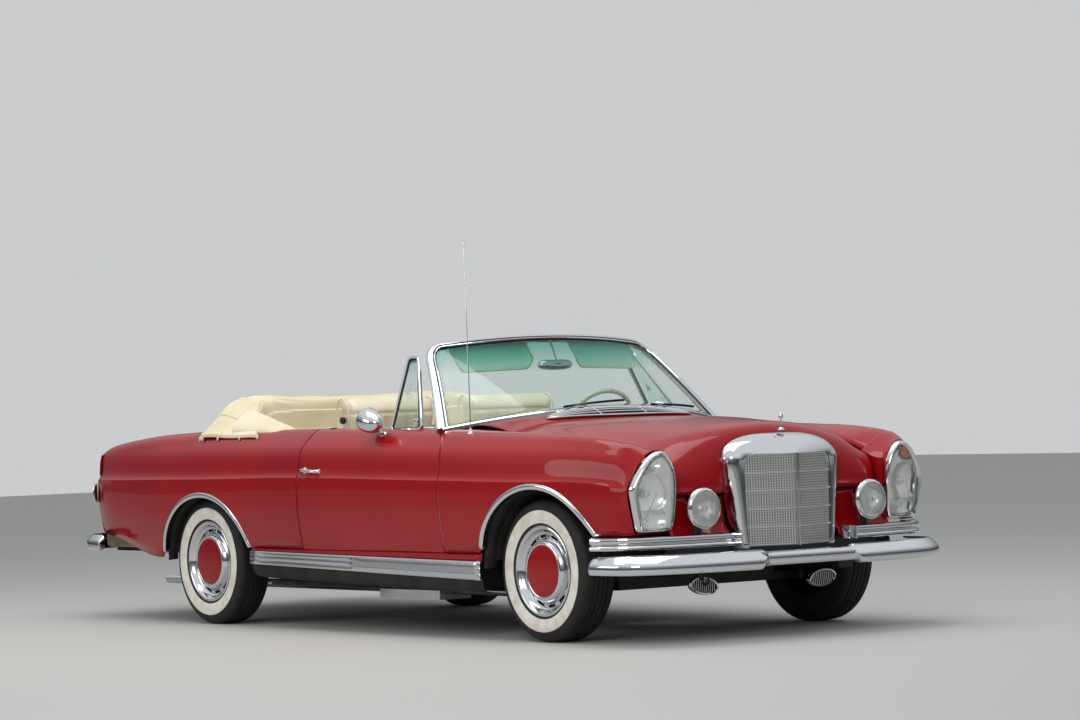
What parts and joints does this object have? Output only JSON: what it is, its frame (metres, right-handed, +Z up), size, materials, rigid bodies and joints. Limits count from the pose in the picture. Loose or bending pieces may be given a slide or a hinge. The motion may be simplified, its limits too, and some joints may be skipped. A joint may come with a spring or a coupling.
{
  "type": "convertible car",
  "caption": "Two-door open tourer car with folded soft top, upright chrome grille, tall lamps, cream seats and wide whitewall tyres.",
  "frame": {"origin": "on the ground below the middle of the car's length and width", "axes": "+X forward, +Y to the car's left, +Z up"},
  "size_m": [4.88, 1.844, 1.7801],
  "materials": {
    "body_paint": "deep red gloss enamel",
    "chrome": "bright chrome plate",
    "black_enamel": "satin black",
    "underseal": "matt black underseal",
    "cast_iron": "cast",
    "lamp_glass": "clear",
    "tail_lens": "red and amber lens",
    "screen_glass": "lightly tinted",
    "cream_leather": "soft grain",
    "cream_cloth": "woven cover cloth",
    "dash_leather": "grained",
    "ivory": "polished",
    "tyre_rubber": "black with a white wall",
    "wheel_steel": "enamelled steel with chrome"
  },
  "bodies": {
    "car_body": {"aerial": "chrome", "cowl": "body_paint", "dashboard": "dash_leather", "engine_bay": "black_enamel", "engine_block": "cast_iron", "exhaust": "black_enamel", "fenders": "body_paint", "floor_pan": "underseal", "fog_lamps": "chrome", "front_axle": "black_enamel", "front_bumper": "chrome", "front_seats": "cream_leather", "header_fittings": "chrome", "headlamp_bezels": "chrome", "headlamp_lenses": "lamp_glass", "hinge_posts": "black_enamel", "horns": "chrome", "nose_panel": "body_paint", "quarters": "body_paint", "rear_axle": "black_enamel", "rear_bumper": "chrome", "rear_panels": "body_paint", "rear_seat": "cream_leather", "rear_side_trims": "cream_leather", "sills": "body_paint", "soft_top": "cream_cloth", "steering_column": "black_enamel", "tail_lamps": "tail_lens", "wheel_houses": "underseal", "windscreen_frame": "chrome", "windscreen_glass": "screen_glass"},
    "hood": {"hood_panel": "body_paint", "grille_shell": "chrome", "grille_mesh": "chrome"},
    "boot_lid": {"boot_lid": "body_paint"},
    "door_left": {"door_panel_left": "body_paint", "door_fittings_left": "chrome"},
    "door_right": {"door_panel_right": "body_paint", "door_fittings_right": "chrome"},
    "knuckle_left": {"knuckle_left": "black_enamel"},
    "knuckle_right": {"knuckle_right": "black_enamel"},
    "steering_wheel": {"steering_wheel": "ivory"},
    "wheel_front_left": {"rim_front_left": "wheel_steel", "tyre_front_left": "tyre_rubber"},
    "wheel_front_right": {"rim_front_right": "wheel_steel", "tyre_front_right": "tyre_rubber"},
    "wheel_rear_left": {"rim_rear_left": "wheel_steel", "tyre_rear_left": "tyre_rubber"},
    "wheel_rear_right": {"rim_rear_right": "wheel_steel", "tyre_rear_right": "tyre_rubber"}
  },
  "joints": [
    {"name": "hood_hinge", "type": "hinge", "parent": "car_body", "child": "hood", "pos_m": [1.03, 0, 0.922], "axis": [0, -1, 0], "range_deg": [0, 55]},
    {"name": "boot_hinge", "type": "hinge", "parent": "car_body", "child": "boot_lid", "pos_m": [-1.4, 0, 0.9], "axis": [0, 1, 0], "range_deg": [0, 60]},
    {"name": "door_hinge_left", "type": "hinge", "parent": "car_body", "child": "door_left", "pos_m": [1, 0.864, 0.6], "axis": [0, 0, -1], "range_deg": [0, 60]},
    {"name": "door_hinge_right", "type": "hinge", "parent": "car_body", "child": "door_right", "pos_m": [1, -0.864, 0.6], "axis": [0, 0, 1], "range_deg": [0, 60]},
    {"name": "steer_left", "type": "hinge", "parent": "car_body", "child": "knuckle_left", "pos_m": [1.6, 0.64, 0.31], "axis": [0, 0, 1], "range_deg": [-32, 32]},
    {"name": "steer_right", "type": "hinge", "parent": "car_body", "child": "knuckle_right", "pos_m": [1.6, -0.64, 0.31], "axis": [0, 0, 1], "range_deg": [-33, 33]},
    {"name": "steering_wheel_turn", "type": "hinge", "parent": "car_body", "child": "steering_wheel", "pos_m": [0.5, 0.35, 0.9], "axis": [-0.9063, 0, 0.4226], "range_deg": [-560, 560]},
    {"name": "spin_front_left", "type": "hinge", "parent": "knuckle_left", "child": "wheel_front_left", "pos_m": [1.6, 0.741, 0.31], "axis": [0, 1, 0], "continuous": true},
    {"name": "spin_front_right", "type": "hinge", "parent": "knuckle_right", "child": "wheel_front_right", "pos_m": [1.6, -0.741, 0.31], "axis": [0, 1, 0], "continuous": true},
    {"name": "spin_rear_left", "type": "hinge", "parent": "car_body", "child": "wheel_rear_left", "pos_m": [-1.15, 0.7425, 0.31], "axis": [0, 1, 0], "continuous": true},
    {"name": "spin_rear_right", "type": "hinge", "parent": "car_body", "child": "wheel_rear_right", "pos_m": [-1.15, -0.7425, 0.31], "axis": [0, 1, 0], "continuous": true}
  ],
  "couplings": [
    {"joint": "steer_right", "follows": "steer_left", "ratio": 1},
    {"joint": "steering_wheel_turn", "follows": "steer_left", "ratio": 17}
  ]
}
